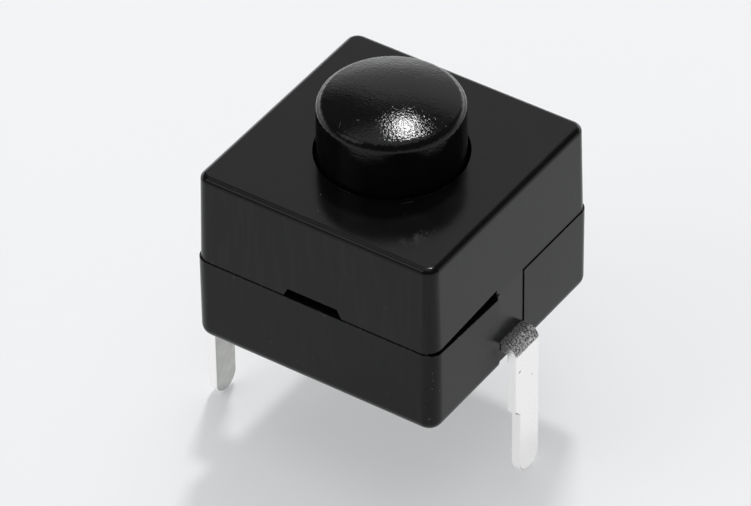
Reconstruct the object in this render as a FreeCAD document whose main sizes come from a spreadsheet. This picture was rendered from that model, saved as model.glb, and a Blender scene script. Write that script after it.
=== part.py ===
import FreeCAD, Part
import math
import os
import re

import Sketcher

# A square latching pushbutton switch with two flat solder legs, in millimetres.
# The origin is the middle of the base's underside and +Z points up through the button.
# +X is the side with the straight leg and the open parting slot, -Y the side with the notch.
# Inside, a ball-pen mechanism turns a finned rotor, which pushes a sprung bridge off two contacts.

SIZES = [
    # Housing
    ("body_side", 12.0, "side of the square base"),
    ("body_height", 8.6, "base underside to cover top"),
    ("parting_height", 4.22, "height of the joint between base and cover"),
    ("cover_inset", 0.05, "how far the cover's sides stand in from the base's at the joint"),
    ("cover_draft", 1.4, "degrees that the cover's sides lean in towards its top"),
    ("wall", 0.9, "thickness of the base's side walls"),
    ("floor_thickness", 1.07, "thickness of the base's floor"),
    ("roof_thickness", 1.0, "thickness of the cover's roof"),
    ("corner_radius", 0.66, "upright corners of the housing"),
    ("bottom_radius", 0.56, "rounding along the base's lower edges"),
    ("top_radius", 0.28, "rounding along the cover's upper edges"),
    ("cavity_radius", 0.3, "upright corners inside the housing"),
    ("gate_recess_radius", 0.8, "round recess under the base at the moulding gate"),
    ("gate_recess_depth", 0.15, "depth of that recess"),
    ("gate_recess_place", 3.2, "middle of that recess along Y"),
    # Joint details seen from outside
    ("slot_front_inset", 0.15, "front face to the front end of the open parting slot"),
    ("slot_tab_gap", 0.21, "rear end of the slot to the right tab"),
    ("slot_depth", 0.5, "how far the slot cuts into the wall"),
    ("slot_drop_front", 0.08, "slot edge below the joint at the front"),
    ("slot_drop_rear", 0.24, "slot edge below the joint at the rear"),
    ("slot_rise_front", 0.2, "slot edge above the joint at the front"),
    ("slot_rise_rear", 0.3, "slot edge above the joint at the rear"),
    ("notch_centre", -0.02, "middle of the notch in the cover's rim"),
    ("notch_width", 2.92, "notch width at the joint"),
    ("notch_top_width", 2.46, "notch width at its top"),
    ("notch_height", 0.44, "height of the notch"),
    ("notch_depth", 0.55, "how far the notch cuts into the wall"),
    # Snap pins at the corners
    ("pin_inset", 1.65, "corner pins from the base's sides"),
    ("pin_radius", 0.45, "radius of a corner pin"),
    ("pin_length", 1.5, "pin length below the joint"),
    ("pin_clearance", 0.03, "gap round a pin and below its end"),
    ("boss_radius", 0.85, "radius of the corner bosses and posts"),
    # Terminals
    ("sheet_thickness", 0.43, "thickness of the terminals' strip"),
    ("bend_radius", 0.12, "inside radius of the strip's bends"),
    ("terminal_width", 1.77, "width of the strip"),
    ("leg_width", 1.42, "width of the legs below their shoulder"),
    ("leg_length", 5.8, "underside of the base to the leg tips"),
    ("shoulder_drop", 2.05, "underside of the base to the shoulder"),
    ("shoulder_slope", 0.3, "height of the sloping shoulder"),
    ("right_leg_gap", 0.35, "wall to the inner face of the right leg"),
    ("left_leg_gap", 0.87, "wall to the inner face of the left leg"),
    ("right_terminal_place", -0.075, "middle of the right terminal along Y"),
    ("left_terminal_inset", 3.395, "front face to the middle of the left terminal"),
    ("slot_clearance", 0.05, "gap beside a strip or a tab in its slot"),
    ("channel_depth", 0.3, "depth of the channel below a strip's exit"),
    ("arm_drop", 5.0, "cover top to the underside of the terminals' arms"),
    ("arm_overhang", 0.65, "middle of a contact to the inner end of its arm"),
    ("arm_width", 1.6, "width of an arm at its contact"),
    ("arm_stub", 0.3, "straight part of an arm beside its riser"),
    ("arm_taper", 0.75, "middle of a contact to where its arm starts to narrow"),
    ("riser_gap", 0.52, "gap between a terminal's riser and the wall"),
    ("block_thickness", 0.75, "thickness of a terminal block"),
    ("block_clearance", 0.05, "gap between a block and the strip over it"),
    # Contacts and bridge
    ("contact_inset", 0.8, "terminal block to the middle of its contact"),
    ("contact_radius", 0.5, "radius of a contact head"),
    ("contact_dome", 0.05, "rise of a contact's domed face"),
    ("fixed_head", 0.16, "height of a fixed contact's head"),
    ("moving_head", 0.12, "height of a moving contact's head"),
    ("shank_radius", 0.25, "radius of a contact's shank"),
    ("shank_clearance", 0.01, "gap round a shank"),
    ("contact_gap", 0.02, "gap between the contacts at rest"),
    ("bridge_overhang", 0.65, "middle of a contact to the bridge's end"),
    ("bridge_width", 1.6, "width of the contact bridge"),
    ("bridge_thickness", 0.3, "thickness of the contact bridge"),
    ("bridge_corner", 0.3, "rounded corners of the bridge"),
    ("cheek_clearance", 0.15, "gap between the bridge and its guides"),
    ("cheek_thickness", 0.5, "thickness of the bridge's guides"),
    ("cheek_length", 0.7, "length of the bridge's guides"),
    # Return spring
    ("spring_wire", 0.25, "diameter of the spring wire"),
    ("spring_base_radius", 1.8, "coil radius at the floor"),
    ("spring_top_radius", 0.85, "coil radius under the bridge"),
    ("spring_turns", 3.0, "number of turns"),
    ("spring_clearance", 0.02, "gap at the spring's ends"),
    ("seat_clearance", 0.25, "gap round the spring in its pocket"),
    ("seat_depth", 0.62, "depth of the spring's pocket"),
    # Button
    ("button_radius", 3.13, "radius of the button at its rim"),
    ("button_draft", 0.04, "how much wider the button is at its skirt"),
    ("button_clearance", 0.13, "gap round the button in the cover"),
    ("button_rise", 2.57, "cover top to the button's rim"),
    ("dome_rise", 0.446, "rise of the domed top above the rim"),
    ("rim_radius", 0.45, "rounding of the button's rim"),
    ("button_wall", 0.7, "thickness of the button's skirt"),
    ("button_top_thickness", 0.9, "thickness of the button's top"),
    ("stroke", 1.6, "full travel of the button"),
    # Ratchet
    ("step_count", 4.0, "number of guide grooves"),
    ("groove_radius", 4.1, "outer radius of the grooves"),
    ("sleeve_wall", 0.5, "sleeve wall outside the grooves"),
    ("sleeve_length", 2.1, "length of the sleeve under the roof"),
    ("rib_slope", 0.55, "height of the sloping end of a rib"),
    ("track_clearance", 0.1, "gap between a key or fin and its groove"),
    ("key_width", 1.8, "width of a key on the button"),
    ("key_height", 0.7, "height of a key on the button"),
    ("key_clearance", 0.05, "gap between a key and the roof at rest"),
    ("crown_drop", 1.15, "key top to the tips of the button's crown"),
    ("crown_depth", 0.45, "height of the crown's saw teeth"),
    ("crown_relief", 0.23, "how far a crown tooth is cut past its pitch"),
    ("crown_clearance", 0.07, "gap between the crown and the fins"),
    ("fin_width", 1.1, "width of a fin on the rotor"),
    ("press_clearance", 0.12, "gap between the fins and the terminals' arms at full travel"),
    ("hub_clearance", 0.1, "gap round the rotor's hub in the button"),
    ("hub_height", 2.8, "height of the rotor's hub"),
    ("hub_wall", 0.75, "wall of the hollow hub"),
    ("hub_floor", 0.65, "floor of the hollow hub"),
    ("stem_radius", 0.75, "radius of the rotor's stem"),
    ("stem_clearance", 0.02, "gap between the stem and the bridge"),
    ("nipple_radius", 0.4, "radius of the stem's centring nipple"),
    ("nipple_clearance", 0.05, "gap round the nipple in the bridge"),
]

# Sizes and places that follow from the driving dimensions
DERIVED = {
    "half_side": "body_side / 2",
    "pin_place": "half_side - pin_inset",
    "left_terminal_place": "left_terminal_inset - half_side",
    "slot_front_end": "slot_front_inset - half_side",
    "slot_rear_end": "right_terminal_place - terminal_width / 2 - slot_tab_gap",
    "cover_side": "body_side - 2 * cover_inset",
    "cavity_side": "body_side - 2 * wall",
    "roof_underside": "body_height - roof_thickness",
    "sleeve_bottom": "roof_underside - sleeve_length",
    "hole_radius": "button_radius + button_draft + button_clearance",
    "skirt_radius": "button_radius + button_draft",
    "bore_radius": "skirt_radius - button_wall",
    "rim_height": "body_height + button_rise",
    "dome_radius": "(button_radius * button_radius + dome_rise * dome_rise) / (2 * dome_rise)",
    "key_top": "roof_underside - key_clearance",
    "crown_tip": "key_top - crown_drop",
    "half_groove": "90 / step_count",
    "crown_half": "(bore_radius + skirt_radius) / 2 * sin(half_groove)",
    "crown_inside": "bore_radius * cos(30)",
    "rib_inside": "hole_radius * cos(half_groove)",
    "track_radius": "groove_radius - track_clearance",
    "key_reach": "sqrt(track_radius * track_radius - key_width * key_width / 4)",
    "fin_reach": "sqrt(track_radius * track_radius - fin_width * fin_width / 4)",
    "fin_root": "hub_radius - hub_wall / 4",
    "hub_radius": "bore_radius - hub_clearance",
    "fin_low": "crown_tip - crown_clearance",
    "fin_bottom": "arm_top + stroke + press_clearance",
    "fin_rise": "crown_depth * fin_width / (2 * crown_half + crown_relief)",
    "arm_height": "body_height - arm_drop",
    "arm_top": "arm_height + sheet_thickness",
    "bridge_top": "arm_height - fixed_head - contact_gap - moving_head",
    "bridge_bottom": "bridge_top - bridge_thickness",
    "riser_outer": "half_side - wall - riser_gap",
    "riser_inner": "riser_outer - sheet_thickness",
    "block_outer": "riser_inner - block_clearance",
    "strip_top": "floor_thickness + sheet_thickness",
    "seat_floor": "floor_thickness - seat_depth",
    "block_inner": "block_outer - block_thickness",
    "contact_place": "block_inner - contact_inset",
    "arm_knee": "contact_place + arm_taper",
    "arm_end": "contact_place - arm_overhang",
    "bridge_end": "contact_place + bridge_overhang",
    "cheek_inner": "bridge_width / 2 + cheek_clearance",
    "cheek_outer": "cheek_inner + cheek_thickness",
    "slot_width": "terminal_width + 2 * slot_clearance",
}

NAMES = {name for name, size, note in SIZES}
# A point's place in each plane's own axes, the last along the plane's normal
PLANE_AXES = {
    "XY_Plane": lambda x, y, z: (x, y, z),
    "XZ_Plane": lambda x, y, z: (x, z, f"-({y})"),
    "YZ_Plane": lambda x, y, z: (y, z, x),
}
# Arcs in one turn of the spring, and the sides of its wire, which keep this hidden piece light
TURN_ARCS = 4
WIRE_SIDE_COUNT = 4
# How far a cut's outline reaches past the piece that it cuts
OVERSIZE = "1.0"


def bound(text):
    """An expression on the sheet's cells, with the derived names written out."""
    def swap(match):
        word = match.group()
        if word in DERIVED:
            return "(" + bound(DERIVED[word]) + ")"
        return "Sizes." + word if word in NAMES else word
    return re.sub(r"[a-z_]+", swap, str(text))


def value(sheet, text):
    """The number that an expression has now."""
    return float(sheet.evalExpression(bound(text)))


def make_sheet(doc):
    """The spreadsheet of driving dimensions."""
    sheet = doc.addObject("Spreadsheet::Sheet", "Sizes")
    for row, (name, size, note) in enumerate(SIZES, start=1):
        sheet.set(f"A{row}", name)
        sheet.set(f"B{row}", str(size))
        sheet.set(f"C{row}", note)
        sheet.setAlias(f"B{row}", name)
    doc.recompute()
    return sheet


class Piece:
    """One moulded, stamped or turned piece: a body and the features that shape it."""

    def __init__(self, doc, sheet, label):
        self.doc = doc
        self.sheet = sheet
        self.body = doc.addObject("PartDesign::Body", label)
        self.body.Label = label

    def number(self, text):
        return value(self.sheet, text)

    def origin(self, role):
        return next(item for item in self.body.Origin.OriginFeatures if item.Role == role)

    def place(self, x="0", y="0", z="0", turn="0"):
        """Put the whole piece at a point, turned about the upright axis."""
        self.body.Placement = FreeCAD.Placement(
            FreeCAD.Vector(self.number(x), self.number(y), self.number(z)),
            FreeCAD.Rotation(FreeCAD.Vector(0, 0, 1), self.number(turn)))
        for axis, text in zip("xyz", (x, y, z)):
            self.body.setExpression(f"Placement.Base.{axis}", bound(text))

    def sketch(self, name, plane="XY_Plane", x="0", y="0", z="0"):
        """An empty sketch parallel to one of the body's planes, through a point."""
        sketch = self.body.newObject("Sketcher::SketchObject", name)
        sketch.AttachmentSupport = [(self.origin(plane), "")]
        sketch.MapMode = "FlatFace"
        for axis, text in zip("xyz", PLANE_AXES[plane](x, y, z)):
            sketch.setExpression(f"AttachmentOffset.Base.{axis}", bound(text))
        return sketch

    def pin_point(self, sketch, item, end, x, y):
        """Hold one point of a sketch at its place from the sketch's origin."""
        for kind, text in (("DistanceX", x), ("DistanceY", y)):
            place = self.number(text)
            index = sketch.addConstraint(Sketcher.Constraint(kind, -1, 1, item, end, place))
            sketch.setExpression(f"Constraints[{index}]", bound(text))

    def circle(self, sketch, radius, x="0", y="0"):
        middle = FreeCAD.Vector(self.number(x), self.number(y), 0)
        ring = Part.Circle(middle, FreeCAD.Vector(0, 0, 1), self.number(radius))
        item = sketch.addGeometry(ring, False)
        self.pin_point(sketch, item, 3, x, y)
        index = sketch.addConstraint(Sketcher.Constraint("Radius", item, self.number(radius)))
        sketch.setExpression(f"Constraints[{index}]", bound(radius))

    def outline(self, sketch, corners):
        """A closed outline. A corner is (x, y), or (x, y, radius) where an arc leads to it
        anticlockwise, or (x, y, -radius) where the arc leads to it clockwise."""
        points = [FreeCAD.Vector(self.number(c[0]), self.number(c[1]), 0) for c in corners]
        items = []
        for index, corner in enumerate(corners):
            start, end = points[index - 1], points[index]
            if len(corner) == 2:
                edge = Part.LineSegment(start, end)
            else:
                edge = arc_between(start, end, self.number(corner[2]))
            items.append(sketch.addGeometry(edge, False))
        for index, corner in enumerate(corners):
            last = self.end_of(sketch, items[index], points[index])
            after = items[(index + 1) % len(items)]
            first = self.end_of(sketch, after, points[index])
            sketch.addConstraint(Sketcher.Constraint("Coincident", items[index], last, after, first))
            self.pin_point(sketch, items[index], last, corner[0], corner[1])
            if len(corner) == 3:
                radius = corner[2].lstrip("-")
                size = Sketcher.Constraint("Radius", items[index], self.number(radius))
                held = sketch.addConstraint(size)
                sketch.setExpression(f"Constraints[{held}]", bound(radius))

    @staticmethod
    def end_of(sketch, item, point):
        """Which end of a sketch line lies at a point: 1 for its start, 2 for its end."""
        start = sketch.getPoint(item, 1)
        end = sketch.getPoint(item, 2)
        return 1 if (start - point).Length < (end - point).Length else 2

    def rectangle(self, sketch, x_low, x_high, y_low, y_high):
        self.outline(sketch, [(x_low, y_low), (x_high, y_low), (x_high, y_high), (x_low, y_high)])

    def rounded_square(self, sketch, side, radius):
        """A square with round corners, centred on the sketch's origin."""
        half = f"({side}) / 2"
        near = f"(({side}) / 2 - {radius})"
        self.outline(sketch, [
            (near, f"-{half}"), (half, f"-{near}", radius),
            (half, near), (near, half, radius),
            (f"-{near}", half), (f"-{half}", near, radius),
            (f"-{half}", f"-{near}"), (f"-{near}", f"-{half}", radius)])

    def feature(self, kind, name, profile, length=None, reverse=False):
        """A Pad or a Pocket of a sketch. A Pocket without a length cuts through everything."""
        item = self.body.newObject("PartDesign::" + kind, name)
        item.Profile = profile
        item.Reversed = reverse
        if length is None:
            item.Type = "ThroughAll"
        else:
            item.Type = "Length"
            item.setExpression("Length", bound(length))
        profile.Visibility = False
        return item

    def pad(self, name, profile, length, reverse=False):
        """Add material along the sketch's normal."""
        return self.feature("Pad", name, profile, length, reverse)

    def pocket(self, name, profile, length=None, reverse=False):
        """Cut against the sketch's normal, or along it if reversed, and check that it cuts."""
        self.doc.recompute()
        before = self.body.Shape.Volume
        item = self.feature("Pocket", name, profile, length, reverse)
        self.doc.recompute()
        if not self.body.Shape.Volume < before:
            raise RuntimeError(f"{self.body.Label}: {name} cuts nothing")
        return item

    def revolve(self, name, profile):
        """Turn a profile in the XZ plane about the upright axis."""
        item = self.body.newObject("PartDesign::Revolution", name)
        item.Profile = profile
        item.ReferenceAxis = (profile, ["V_Axis"])
        item.Angle = 360.0
        profile.Visibility = False
        return item

    def round_edges(self, name, radius, chosen):
        """A fillet on the edges whose middle point passes a test."""
        self.doc.recompute()
        base = self.body.Tip
        edges = [f"Edge{index}" for index, edge in enumerate(base.Shape.Edges, start=1)
                 if chosen(edge, middle_of(edge))]
        if not edges:
            raise RuntimeError(f"{self.body.Label}: {name} finds no edges")
        item = self.body.newObject("PartDesign::Fillet", name)
        item.Base = (base, edges)
        item.setExpression("Radius", bound(radius))
        return item

    def polar(self, name, original, count):
        """Copies of a feature round the upright axis."""
        item = self.body.newObject("PartDesign::PolarPattern", name)
        item.Originals = [original]
        item.Axis = (self.origin("Z_Axis"), [""])
        item.Angle = 360.0
        item.setExpression("Occurrences", bound(count))
        self.body.Tip = item
        return item


def middle_of(edge):
    """The point halfway along an edge."""
    first, last = edge.ParameterRange
    return edge.valueAt((first + last) / 2)


def arc_between(start, end, radius):
    """The shorter arc between two points, anticlockwise for a positive radius."""
    chord = end - start
    middle = (start + end) * 0.5
    side = FreeCAD.Vector(chord.y, -chord.x, 0).normalize()
    reach = math.sqrt(max(radius * radius - (chord.Length / 2) ** 2, 0.0))
    bulge = (abs(radius) - reach) * math.copysign(1.0, radius)
    return Part.Arc(start, middle + side * bulge, end)


def near(first, second):
    """Whether two lengths are the same, to a ten-thousandth of a millimetre."""
    return abs(first - second) < 1e-4


def corner_places():
    """The four corners where the cover is pinned to the base."""
    return [(x, y) for x in ("pin_place", "-pin_place") for y in ("pin_place", "-pin_place")]


def tab_range(place):
    """The strip of wall that a terminal and the cover's tab share, as its two Y limits."""
    return f"({place} - terminal_width / 2)", f"({place} + terminal_width / 2)"


def slot_range(place):
    """The tab's limits, widened by the clearance on each side."""
    return f"({place} - slot_width / 2)", f"({place} + slot_width / 2)"


def build_base(doc, sheet):
    """The tray that holds the terminals, the spring and the cover's pins."""
    piece = Piece(doc, sheet, "base")
    block = piece.sketch("block_outline")
    piece.rounded_square(block, "body_side", "corner_radius")
    piece.pad("block", block, "parting_height")
    piece.round_edges("bottom_rounding", "bottom_radius", lambda edge, point: near(point.z, 0))

    cavity = piece.sketch("cavity_outline", z="parting_height")
    piece.rounded_square(cavity, "cavity_side", "cavity_radius")
    piece.pocket("cavity", cavity, "parting_height - floor_thickness")

    seat = piece.sketch("spring_seat_outline", z="floor_thickness")
    piece.circle(seat, "spring_base_radius + spring_wire / 2 + seat_clearance")
    piece.pocket("spring_seat", seat, "seat_depth")

    blocks = piece.sketch("terminal_block_outlines", z="floor_thickness")
    left_low, left_high = tab_range("left_terminal_place")
    piece.rectangle(blocks, "block_inner", "block_outer", "-cheek_outer", "cheek_outer")
    piece.rectangle(blocks, "-block_outer", "-block_inner", left_low, "cheek_outer")
    block_height = "arm_height - block_clearance - floor_thickness"
    piece.pad("terminal_blocks", blocks, block_height)

    cheeks = piece.sketch("cheek_outlines", z="floor_thickness")
    for side in ("", "-"):
        ends = sorted((f"{side}(block_inner - cheek_length)", f"{side}block_inner"), key=piece.number)
        piece.rectangle(cheeks, ends[0], ends[1], "cheek_inner", "cheek_outer")
        piece.rectangle(cheeks, ends[0], ends[1], "-cheek_outer", "-cheek_inner")
    piece.pad("bridge_guides", cheeks, block_height)

    bosses = piece.sketch("boss_outlines", z="floor_thickness")
    holes = piece.sketch("pin_hole_outlines", z="parting_height")
    for x, y in corner_places():
        piece.circle(bosses, "boss_radius", x, y)
        piece.circle(holes, "pin_radius + pin_clearance", x, y)
    piece.pad("bosses", bosses, "parting_height - floor_thickness")
    piece.pocket("pin_holes", holes, "pin_length + pin_clearance")

    slots = piece.sketch("terminal_slot_outlines", z="parting_height")
    channels = piece.sketch("channel_outlines")
    right = slot_range("right_terminal_place")
    left = slot_range("left_terminal_place")
    inner = "half_side - wall"
    far = f"half_side + {OVERSIZE}"
    piece.rectangle(slots, inner, far, right[0], right[1])
    piece.rectangle(slots, f"-({far})", f"-({inner})", left[0], left[1])
    piece.pocket("terminal_slots", slots, "parting_height - floor_thickness")
    piece.rectangle(channels, "half_side - channel_depth", far, right[0], right[1])
    piece.rectangle(channels, f"-({far})", "-(half_side - channel_depth)", left[0], left[1])
    piece.pocket("leg_channels", channels, "floor_thickness", reverse=True)

    step = piece.sketch("parting_slot_profile", "YZ_Plane", x="half_side")
    piece.outline(step, [
        ("slot_front_end", "parting_height - slot_drop_front"),
        ("slot_rear_end", "parting_height - slot_drop_rear"),
        ("slot_rear_end", f"parting_height + {OVERSIZE}"),
        ("slot_front_end", f"parting_height + {OVERSIZE}")])
    piece.pocket("parting_slot", step, "slot_depth")

    recess = piece.sketch("gate_recess_outline")
    piece.circle(recess, "gate_recess_radius", "0", "gate_recess_place")
    piece.pocket("gate_recess", recess, "gate_recess_depth", reverse=True)
    return piece.body


def build_cover(doc, sheet):
    """The cap over the mechanism, with the button's hole and the grooved guide sleeve."""
    piece = Piece(doc, sheet, "cover")
    block = piece.sketch("block_outline", z="parting_height")
    piece.rounded_square(block, "cover_side", "corner_radius")
    sides = piece.pad("block", block, "body_height - parting_height")
    sides.setExpression("TaperAngle", bound("-cover_draft"))
    top = piece.number("body_height")
    piece.round_edges("top_rounding", "top_radius", lambda edge, point: near(point.z, top))

    cavity = piece.sketch("cavity_outline", z="parting_height")
    piece.rounded_square(cavity, "cavity_side", "cavity_radius")
    piece.pocket("cavity", cavity, "roof_underside - parting_height", reverse=True)

    posts = piece.sketch("post_outlines", z="parting_height")
    pins = piece.sketch("pin_outlines", z="parting_height - pin_length")
    for x, y in corner_places():
        piece.circle(posts, "boss_radius", x, y)
        piece.circle(pins, "pin_radius", x, y)
    piece.pad("posts", posts, "roof_underside - parting_height")
    piece.pad("pins", pins, "pin_length")

    sleeve = piece.sketch("sleeve_outline", z="sleeve_bottom")
    piece.circle(sleeve, "groove_radius + sleeve_wall")
    piece.pad("sleeve", sleeve, "sleeve_length")
    hole = piece.sketch("button_hole_outline", z="body_height")
    piece.circle(hole, "hole_radius")
    piece.pocket("button_hole", hole, "body_height - sleeve_bottom")

    groove = piece.sketch("groove_outline", z="sleeve_bottom")
    low, high = "half_groove", "3 * half_groove"
    piece.outline(groove, [
        (f"rib_inside * cos({low})", f"rib_inside * sin({low})"),
        (f"groove_radius * cos({low})", f"groove_radius * sin({low})"),
        (f"groove_radius * cos({high})", f"groove_radius * sin({high})", "groove_radius"),
        (f"rib_inside * cos({high})", f"rib_inside * sin({high})")])
    cut = piece.pocket("groove", groove, "sleeve_length", reverse=True)
    piece.polar("grooves", cut, "step_count")

    half = "groove_radius * sin(half_groove)"
    tooth = piece.sketch("rib_tooth_profile", "XZ_Plane", y="-rib_inside")
    piece.outline(tooth, [
        (f"-{half}", "sleeve_bottom"),
        (half, "sleeve_bottom"),
        (half, "sleeve_bottom + rib_slope")])
    cut = piece.pocket("rib_tooth", tooth, "groove_radius - rib_inside", reverse=True)
    piece.polar("rib_teeth", cut, "step_count")

    tabs = piece.sketch("tab_outlines", z="strip_top + slot_clearance")
    right = tab_range("right_terminal_place")
    left = tab_range("left_terminal_place")
    inner, outer = "half_side - wall", "cover_side / 2"
    piece.rectangle(tabs, inner, outer, right[0], right[1])
    piece.rectangle(tabs, f"-({outer})", f"-({inner})", left[0], left[1])
    piece.pad("tabs", tabs, "parting_height - strip_top - slot_clearance")

    for name, sign in (("front_notch", "-"), ("rear_notch", "")):
        notch = piece.sketch(f"{name}_profile", "XZ_Plane", y=f"{sign}cover_side / 2")
        piece.outline(notch, [
            ("notch_centre - notch_width / 2", "parting_height"),
            ("notch_centre + notch_width / 2", "parting_height"),
            ("notch_centre + notch_top_width / 2", "parting_height + notch_height"),
            ("notch_centre - notch_top_width / 2", "parting_height + notch_height")])
        piece.pocket(name, notch, "notch_depth", reverse=sign == "")

    step = piece.sketch("parting_slot_profile", "YZ_Plane", x="half_side")
    piece.outline(step, [
        ("slot_front_end", "parting_height"),
        ("slot_rear_end", "parting_height"),
        ("slot_rear_end", "parting_height + slot_rise_rear"),
        ("slot_front_end", "parting_height + slot_rise_front")])
    piece.pocket("parting_slot", step, "slot_depth")
    return piece.body


def build_button(doc, sheet):
    """The domed button, a cup with guide keys and a toothed crown round its open end."""
    piece = Piece(doc, sheet, "button")
    profile = piece.sketch("cup_profile", "XZ_Plane")
    piece.outline(profile, [
        ("0", "rim_height + dome_rise - button_top_thickness"),
        ("bore_radius", "rim_height + dome_rise - button_top_thickness"),
        ("bore_radius", "crown_tip"),
        ("skirt_radius", "crown_tip"),
        ("skirt_radius", "roof_underside"),
        ("button_radius", "rim_height"),
        ("0", "rim_height + dome_rise", "dome_radius")])
    piece.revolve("cup", profile)
    rim = piece.number("rim_height")
    piece.round_edges("rim_rounding", "rim_radius", lambda edge, point: near(point.z, rim))

    keys = piece.sketch("key_outline", z="key_top - key_height")
    piece.rectangle(keys, "bore_radius + button_wall / 2", "key_reach",
                    "-key_width / 2", "key_width / 2")
    key = piece.pad("key", keys, "key_height")
    piece.polar("keys", key, "step_count")

    tooth = piece.sketch("crown_tooth_profile", "XZ_Plane", y="-crown_inside")
    piece.outline(tooth, [
        ("-crown_half", "crown_tip"),
        ("crown_half + crown_relief", "crown_tip"),
        ("crown_half + crown_relief", "crown_tip + crown_depth")])
    cut = piece.pocket("crown_tooth", tooth, "skirt_radius - crown_inside", reverse=True)
    piece.polar("crown", cut, "2 * step_count")
    piece.place(turn="2 * half_groove")
    return piece.body


def build_rotor(doc, sheet):
    """The finned ratchet wheel under the crown, with its stem down to the bridge."""
    piece = Piece(doc, sheet, "rotor")
    profile = piece.sketch("hub_profile", "XZ_Plane")
    stem_end = "bridge_top + stem_clearance"
    piece.outline(profile, [
        ("0", "bridge_bottom + stem_clearance"),
        ("nipple_radius", "bridge_bottom + stem_clearance"),
        ("nipple_radius", stem_end),
        ("stem_radius", stem_end),
        ("stem_radius", "fin_bottom"),
        ("hub_radius", "fin_bottom"),
        ("hub_radius", "fin_bottom + hub_height"),
        ("hub_radius - hub_wall", "fin_bottom + hub_height"),
        ("hub_radius - hub_wall", "fin_bottom + hub_floor"),
        ("0", "fin_bottom + hub_floor")])
    piece.revolve("hub", profile)

    fins = piece.sketch("fin_profile", "XZ_Plane", y="-fin_root")
    piece.outline(fins, [
        ("-fin_width / 2", "fin_bottom"),
        ("fin_width / 2", "fin_bottom"),
        ("fin_width / 2", "fin_low + fin_rise"),
        ("-fin_width / 2", "fin_low")])
    fin = piece.pad("fin", fins, "fin_reach - fin_root")
    piece.polar("fins", fin, "step_count")
    piece.place(turn="1.5 * half_groove")
    return piece.body


def build_terminal(doc, sheet, label, side, place, leg_gap):
    """A stamped strip: leg outside, run through the wall, riser over its block, contact arm.
    Side is 1 for the right terminal and -1 for the left one."""
    piece = Piece(doc, sheet, label)
    low, high = tab_range(place)
    leg_inner = f"(half_side + {leg_gap})"
    leg_outer = f"(half_side + {leg_gap} + sheet_thickness)"

    def across(text):
        return text if side > 0 else f"-({text})"

    strip = piece.sketch("strip_profile", "XZ_Plane", y=high)
    stub = "(riser_inner - arm_stub)"
    corners = [
        (stub, "arm_height"), (stub, "arm_top"), ("riser_outer", "arm_top"),
        ("riser_outer", "strip_top"), (leg_outer, "strip_top"), (leg_outer, "-leg_length"),
        (leg_inner, "-leg_length"), (leg_inner, "floor_thickness"),
        ("riser_inner", "floor_thickness"), ("riser_inner", "arm_height")]
    piece.outline(strip, [(across(x), z) for x, z in corners])
    piece.pad("strip", strip, "terminal_width")

    arm = piece.sketch("arm_outline", z="arm_height")
    piece.outline(arm, [
        (across(stub), low), (across("arm_knee"), low),
        (across("arm_end"), "-arm_width / 2"), (across("arm_end"), "arm_width / 2"),
        (across("arm_knee"), "arm_width / 2"), (across(stub), high)])
    piece.pad("arm", arm, "sheet_thickness")
    hole = piece.sketch("rivet_hole_outline", z="arm_top")
    piece.circle(hole, "shank_radius + shank_clearance", across("contact_place"), "0")
    piece.pocket("rivet_hole", hole, "sheet_thickness")

    tight = [("riser_inner", "arm_height"), ("riser_outer", "strip_top"), (leg_inner, "floor_thickness")]
    wide = [("riser_outer", "arm_top"), ("riser_inner", "floor_thickness"), (leg_outer, "strip_top")]

    def at_bends(bends):
        spots = [(piece.number(across(x)), piece.number(z)) for x, z in bends]

        def chosen(edge, point):
            upright = edge.BoundBox.YLength > edge.BoundBox.DiagonalLength * 0.9
            return upright and any(near(point.x, x) and near(point.z, z) for x, z in spots)
        return chosen
    piece.round_edges("inner_bends", "bend_radius", at_bends(tight))
    piece.round_edges("outer_bends", "bend_radius + sheet_thickness", at_bends(wide))

    # The leg is narrowed on one side below the shoulder and its tip is fully round
    flush, stepped = (high, low) if side > 0 else (low, high)
    inward, outward = ("-", "+") if side > 0 else ("+", "-")
    tip_arc = "-leg_width / 2" if side > 0 else "leg_width / 2"
    narrow = f"({flush} {inward} leg_width)"
    centre = f"({flush} {inward} leg_width / 2)"
    tip_side = "-leg_length + leg_width / 2"
    beyond = f"({flush} {outward} {OVERSIZE})"
    outside = f"({stepped} {inward} {OVERSIZE})"
    shape = piece.sketch("leg_cut", "YZ_Plane", x=across(f"({leg_outer} + {OVERSIZE})"))
    piece.outline(shape, [
        (outside, f"-leg_length - {OVERSIZE}"),
        (beyond, f"-leg_length - {OVERSIZE}"),
        (beyond, tip_side),
        (flush, tip_side),
        (centre, "-leg_length", tip_arc),
        (narrow, tip_side, tip_arc),
        (narrow, "-shoulder_drop - shoulder_slope"),
        (stepped, "-shoulder_drop"),
        (outside, "-shoulder_drop")])
    piece.pocket("leg_shape", shape, f"2 * {OVERSIZE} + sheet_thickness", reverse=side < 0)
    return piece.body


def build_contact(doc, sheet, label, side, head, shank, seat, facing):
    """A contact rivet. Its head is domed and its shank passes through the strip that holds it.
    Facing is 1 where the head looks up and -1 where it looks down."""
    piece = Piece(doc, sheet, label)
    profile = piece.sketch("rivet_profile", "XZ_Plane")
    crown = "(contact_radius * contact_radius + contact_dome * contact_dome) / (2 * contact_dome)"

    def along(text):
        return text if facing > 0 else f"-({text})"

    arc = crown if facing > 0 else f"-{crown}"
    piece.outline(profile, [
        ("0", along(f"-({shank})")),
        ("shank_radius", along(f"-({shank})")),
        ("shank_radius", "0"),
        ("contact_radius", "0"),
        ("contact_radius", along(f"{head} - contact_dome")),
        ("0", along(head), arc)])
    piece.revolve("rivet", profile)
    piece.place(x="contact_place" if side > 0 else "-contact_place", z=seat)
    return piece.body


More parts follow.
